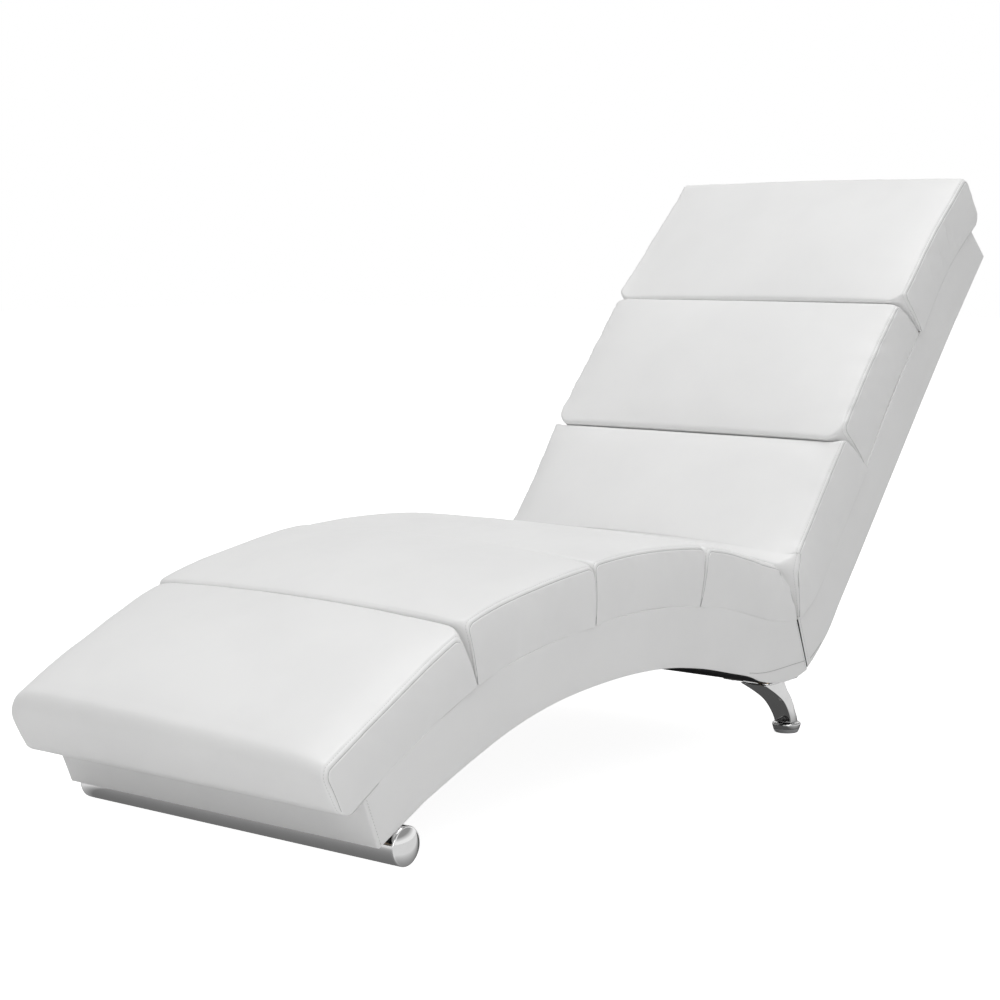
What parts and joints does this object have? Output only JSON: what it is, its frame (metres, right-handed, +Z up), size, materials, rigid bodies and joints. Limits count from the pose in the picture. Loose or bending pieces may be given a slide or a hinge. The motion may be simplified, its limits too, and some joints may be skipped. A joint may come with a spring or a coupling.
{
  "type": "spa relaxation lounger",
  "caption": "Padded S-curve relaxation lounger with segmented leatherette cushions, an arched base, a fixed raised back, a chrome front tube and curved chrome rear legs.",
  "frame": {"origin": "on the floor at the middle of the plan", "axes": "+X along the length to the head end, +Y to the sitter's right, +Z up"},
  "size_m": [1.7108, 0.59, 0.8859],
  "materials": {
    "cushion_leatherette": "smooth white faux leather, fine grain, soft sheen",
    "frame_leatherette": "smooth white faux leather, fine grain, soft sheen",
    "plywood": "sanded birch plywood",
    "beech": "planed beech",
    "hardboard": "brown hardboard",
    "dust_cloth": "black non-woven cloth",
    "hook_and_loop": "black hook-and-loop tape",
    "chrome": "polished chrome plate",
    "zinc_steel": "zinc-plated steel",
    "glide_plastic": "grey moulded plastic"
  },
  "bodies": {
    "lounger": {"base_side_panel_left": "plywood", "base_side_panel_right": "plywood", "base_front_rail": "beech", "base_cross_rail_1": "beech", "base_cross_rail_2": "beech", "base_cross_rail_3": "beech", "base_cross_rail_4": "beech", "base_rear_rail": "beech", "rear_leg_rail": "beech", "tube_mounting_board": "beech", "base_glue_blocks": "beech", "seat_deck_board": "plywood", "base_side_cover_left": "frame_leatherette", "base_side_cover_right": "frame_leatherette", "base_front_cover": "frame_leatherette", "base_dust_cloth": "dust_cloth", "front_tube": "chrome", "front_tube_cap_left": "chrome", "front_tube_cap_right": "chrome", "front_tube_saddles": "zinc_steel", "front_tube_bolts": "zinc_steel", "back_side_panel_left": "plywood", "back_side_panel_right": "plywood", "back_bottom_rail": "beech", "back_mid_rail_lower": "beech", "back_mid_rail_upper": "beech", "back_top_rail": "beech", "back_deck_board": "plywood", "back_rear_board": "hardboard", "back_side_cover_left": "frame_leatherette", "back_side_cover_right": "frame_leatherette", "back_rear_cover": "frame_leatherette", "back_top_cover": "frame_leatherette", "back_fixing_bolts": "zinc_steel", "back_fixing_washers": "zinc_steel", "back_tee_nuts": "zinc_steel", "cushion_fixing_strips": "hook_and_loop", "cushion_foot": "cushion_leatherette", "cushion_calf": "cushion_leatherette", "cushion_knee": "cushion_leatherette", "cushion_seat": "cushion_leatherette", "cushion_lumbar": "cushion_leatherette", "cushion_shoulder": "cushion_leatherette", "cushion_head": "cushion_leatherette", "rear_leg_left": "chrome", "rear_leg_right": "chrome", "rear_leg_screws": "zinc_steel"},
    "glide_left": {"foot_glide_left": "glide_plastic"},
    "disc_left": {"levelling_foot_left": "chrome"},
    "glide_right": {"foot_glide_right": "glide_plastic"},
    "disc_right": {"levelling_foot_right": "chrome"}
  },
  "joints": [
    {"name": "level_slide_left", "type": "slide", "parent": "lounger", "child": "glide_left", "axis": [0, 0, -1], "range_m": [0, 0.005]},
    {"name": "level_screw_left", "type": "hinge", "parent": "glide_left", "child": "disc_left", "pos_m": [0.25915, -0.252, 0.011], "axis": [0, 0, -1], "range_deg": [0, 1440]},
    {"name": "level_slide_right", "type": "slide", "parent": "lounger", "child": "glide_right", "axis": [0, 0, -1], "range_m": [0, 0.005]},
    {"name": "level_screw_right", "type": "hinge", "parent": "glide_right", "child": "disc_right", "pos_m": [0.25915, 0.252, 0.011], "axis": [0, 0, -1], "range_deg": [0, 1440]}
  ],
  "couplings": [
    {"joint": "level_slide_left", "follows": "level_screw_left", "m_per_rad": 0.00019894},
    {"joint": "level_slide_right", "follows": "level_screw_right", "m_per_rad": 0.00019894}
  ]
}
